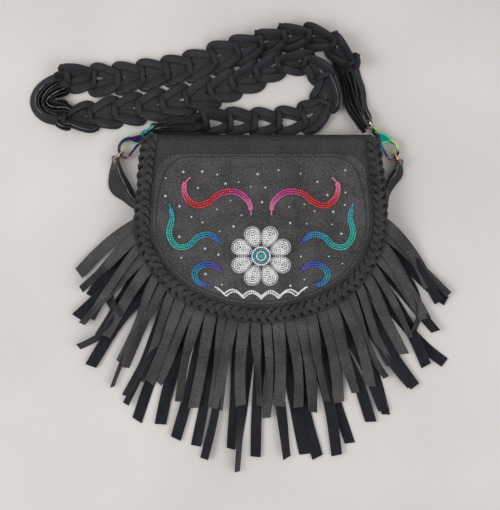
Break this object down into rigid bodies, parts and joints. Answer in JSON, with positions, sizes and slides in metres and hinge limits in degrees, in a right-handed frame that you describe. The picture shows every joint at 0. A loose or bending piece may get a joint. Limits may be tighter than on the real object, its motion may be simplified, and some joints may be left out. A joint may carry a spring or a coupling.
{
  "type": "fringed leather shoulder bag",
  "caption": "Half-round leather shoulder bag with a beaded fold-over flap, laced edge, layered long fringe and a linked leather strap on swivel snap hooks.",
  "frame": {"origin": "middle of the bag body on the outer face of its back panel, which lies on the ground", "axes": "+Z out of the front of the bag, +Y towards the flap's top fold and the strap, +X to the right when seen from the front"},
  "size_m": [0.4152, 0.4421, 0.0391],
  "materials": {
    "grain_leather": "pebbled charcoal grain leather, half matt",
    "suede_leather": "blue-black suede side",
    "lace_leather": "narrow lacing, slightly glossy grain",
    "strap_leather": "soft strap leather with pale cut edges",
    "oil_slick_metal": "polished metal with a rainbow heat tint",
    "snap_metal": "plain nickel magnetic snap",
    "pearl_beads": "pearl white glass seed beads",
    "magenta_beads": "magenta and red seed beads",
    "teal_beads": "teal seed beads",
    "blue_beads": "blue and purple seed beads"
  },
  "bodies": {
    "bag": {"back_panel": "grain_leather", "front_panel": "grain_leather", "gusset": "grain_leather", "lower_fringe_left": "suede_leather", "lower_fringe_centre": "suede_leather", "lower_fringe_right": "suede_leather", "snap_socket": "snap_metal", "strap_right_run": "strap_leather", "strap_top_run": "strap_leather", "strap_left_turn": "strap_leather", "strap_middle_run": "strap_leather", "strap_right_turn": "strap_leather", "strap_low_run": "strap_leather", "strap_loop_right": "strap_leather", "strap_loop_left": "strap_leather", "swivel_eye_right": "oil_slick_metal", "swivel_eye_left": "oil_slick_metal", "side_tab_right": "suede_leather", "side_tab_left": "suede_leather"},
    "flap": {"flap": "grain_leather", "beaded_panel": "grain_leather", "flap_lacing": "lace_leather", "upper_fringe_left": "grain_leather", "upper_fringe_centre": "grain_leather", "upper_fringe_right": "grain_leather", "snap_stud": "snap_metal", "bead_rosette": "pearl_beads", "bead_border": "pearl_beads", "bead_vine_upper_right": "magenta_beads", "bead_vine_upper_left": "magenta_beads", "bead_vine_side_right": "teal_beads", "bead_vine_side_left": "teal_beads", "bead_vine_lower_right": "blue_beads", "bead_vine_lower_left": "blue_beads"},
    "snap_hook_right": {"hook_right": "oil_slick_metal", "gate_pin_right": "oil_slick_metal"},
    "hook_gate_right": {"gate_right": "oil_slick_metal"},
    "tab_ring_right": {"d_ring_right": "oil_slick_metal"},
    "snap_hook_left": {"hook_left": "oil_slick_metal", "gate_pin_left": "oil_slick_metal"},
    "hook_gate_left": {"gate_left": "oil_slick_metal"},
    "tab_ring_left": {"d_ring_left": "oil_slick_metal"}
  },
  "joints": [
    {"name": "flap_hinge", "type": "hinge", "parent": "bag", "child": "flap", "pos_m": [0, 0.085, 0.031], "axis": [-1, 0, 0], "range_deg": [0, 140]},
    {"name": "hook_swivel_right", "type": "hinge", "parent": "bag", "child": "snap_hook_right", "pos_m": [0.112, 0.104, 0.0098], "axis": [0.6157, -0.788, 0], "range_deg": [-8, 8]},
    {"name": "gate_hinge_right", "type": "hinge", "parent": "snap_hook_right", "child": "hook_gate_right", "pos_m": [0.11899, 0.09018, 0.0098], "axis": [0, 0, 1], "range_deg": [0, 9], "stiffness_Nm_per_rad": 0.01, "springref_deg": -22.92},
    {"name": "ring_swing_right", "type": "hinge", "parent": "bag", "child": "tab_ring_right", "pos_m": [0.14001, 0.06815, 0.0098], "axis": [0, 0, 1], "range_deg": [-6, 6]},
    {"name": "hook_swivel_left", "type": "hinge", "parent": "bag", "child": "snap_hook_left", "pos_m": [-0.112, 0.101, 0.0098], "axis": [-0.766, -0.6428, 0], "range_deg": [-8, 8]},
    {"name": "gate_hinge_left", "type": "hinge", "parent": "snap_hook_left", "child": "hook_gate_left", "pos_m": [-0.12172, 0.08893, 0.0098], "axis": [0, 0, -1], "range_deg": [0, 9], "stiffness_Nm_per_rad": 0.01, "springref_deg": -22.92},
    {"name": "ring_swing_left", "type": "hinge", "parent": "bag", "child": "tab_ring_left", "pos_m": [-0.14686, 0.07175, 0.0098], "axis": [0, 0, 1], "range_deg": [-6, 6]}
  ]
}
